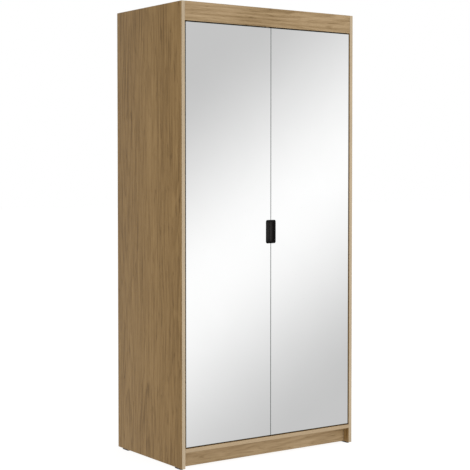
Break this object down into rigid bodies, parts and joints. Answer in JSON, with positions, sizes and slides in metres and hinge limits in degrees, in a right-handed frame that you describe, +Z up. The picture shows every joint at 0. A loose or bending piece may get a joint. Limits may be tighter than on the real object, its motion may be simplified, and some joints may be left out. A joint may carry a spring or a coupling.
{
  "type": "two-door wardrobe",
  "caption": "Tall oak-effect wardrobe with full mirror doors hinged at the sides, flush black finger pulls at the meeting edges, a top fascia and a recessed plinth.",
  "frame": {"origin": "middle of the base, on the floor", "axes": "+X to the viewer's right along the front, -Y out of the front, +Z up"},
  "size_m": [0.9, 0.523, 1.905],
  "materials": {
    "oak_board": "oak-effect laminate on chipboard, satin",
    "back_board": "hardboard sheet, matte",
    "mirror_glass": "silvered glass",
    "black_pull": "satin black",
    "black_glide": "matte",
    "clear_buffer": "soft, translucent",
    "hinge_steel": "nickel plated",
    "rail_chrome": "polished"
  },
  "bodies": {
    "cabinet": {"left_side_panel": "oak_board", "right_side_panel": "oak_board", "top_panel": "oak_board", "top_fascia": "oak_board", "bottom_panel": "oak_board", "plinth": "oak_board", "rear_plinth_rail": "oak_board", "centre_partition": "oak_board", "left_shelf_1": "oak_board", "left_shelf_2": "oak_board", "left_shelf_3": "oak_board", "left_shelf_4": "oak_board", "hat_shelf": "oak_board", "left_back_panel": "back_board", "right_back_panel": "back_board", "left_front_glide": "black_glide", "left_rear_glide": "black_glide", "right_front_glide": "black_glide", "right_rear_glide": "black_glide", "hanging_rail": "rail_chrome", "rail_socket_left": "rail_chrome", "rail_socket_right": "rail_chrome", "left_hinge_arm_1": "hinge_steel", "left_hinge_arm_2": "hinge_steel", "left_hinge_arm_3": "hinge_steel", "left_hinge_arm_4": "hinge_steel", "right_hinge_arm_1": "hinge_steel", "right_hinge_arm_2": "hinge_steel", "right_hinge_arm_3": "hinge_steel", "right_hinge_arm_4": "hinge_steel", "left_lower_door_buffer": "clear_buffer", "left_upper_door_buffer": "clear_buffer", "right_lower_door_buffer": "clear_buffer", "right_upper_door_buffer": "clear_buffer", "left_wall_bracket": "hinge_steel", "right_wall_bracket": "hinge_steel"},
    "left_door": {"left_door_board": "oak_board", "left_door_mirror": "mirror_glass", "left_finger_pull": "black_pull", "left_hinge_cup_1": "hinge_steel", "left_hinge_cup_2": "hinge_steel", "left_hinge_cup_3": "hinge_steel", "left_hinge_cup_4": "hinge_steel"},
    "left_hinge_links": {"left_hinge_link_1": "hinge_steel", "left_hinge_link_2": "hinge_steel", "left_hinge_link_3": "hinge_steel", "left_hinge_link_4": "hinge_steel"},
    "right_door": {"right_door_board": "oak_board", "right_door_mirror": "mirror_glass", "right_finger_pull": "black_pull", "right_hinge_cup_1": "hinge_steel", "right_hinge_cup_2": "hinge_steel", "right_hinge_cup_3": "hinge_steel", "right_hinge_cup_4": "hinge_steel"},
    "right_hinge_links": {"right_hinge_link_1": "hinge_steel", "right_hinge_link_2": "hinge_steel", "right_hinge_link_3": "hinge_steel", "right_hinge_link_4": "hinge_steel"}
  },
  "joints": [
    {"name": "left_door_hinge", "type": "hinge", "parent": "cabinet", "child": "left_door", "pos_m": [-0.421, -0.2525, 0.955], "axis": [0, 0, -1], "range_deg": [0, 105]},
    {"name": "left_link_pivot", "type": "hinge", "parent": "cabinet", "child": "left_hinge_links", "pos_m": [-0.415, -0.235, 0.955], "axis": [0, 0, -1], "range_deg": [0, 37.5]},
    {"name": "right_door_hinge", "type": "hinge", "parent": "cabinet", "child": "right_door", "pos_m": [0.421, -0.2525, 0.955], "axis": [0, 0, 1], "range_deg": [0, 105]},
    {"name": "right_link_pivot", "type": "hinge", "parent": "cabinet", "child": "right_hinge_links", "pos_m": [0.415, -0.235, 0.955], "axis": [0, 0, 1], "range_deg": [0, 37.5]}
  ],
  "couplings": [
    {"joint": "left_link_pivot", "follows": "left_door_hinge", "ratio": 0.35},
    {"joint": "right_link_pivot", "follows": "right_door_hinge", "ratio": 0.35}
  ]
}
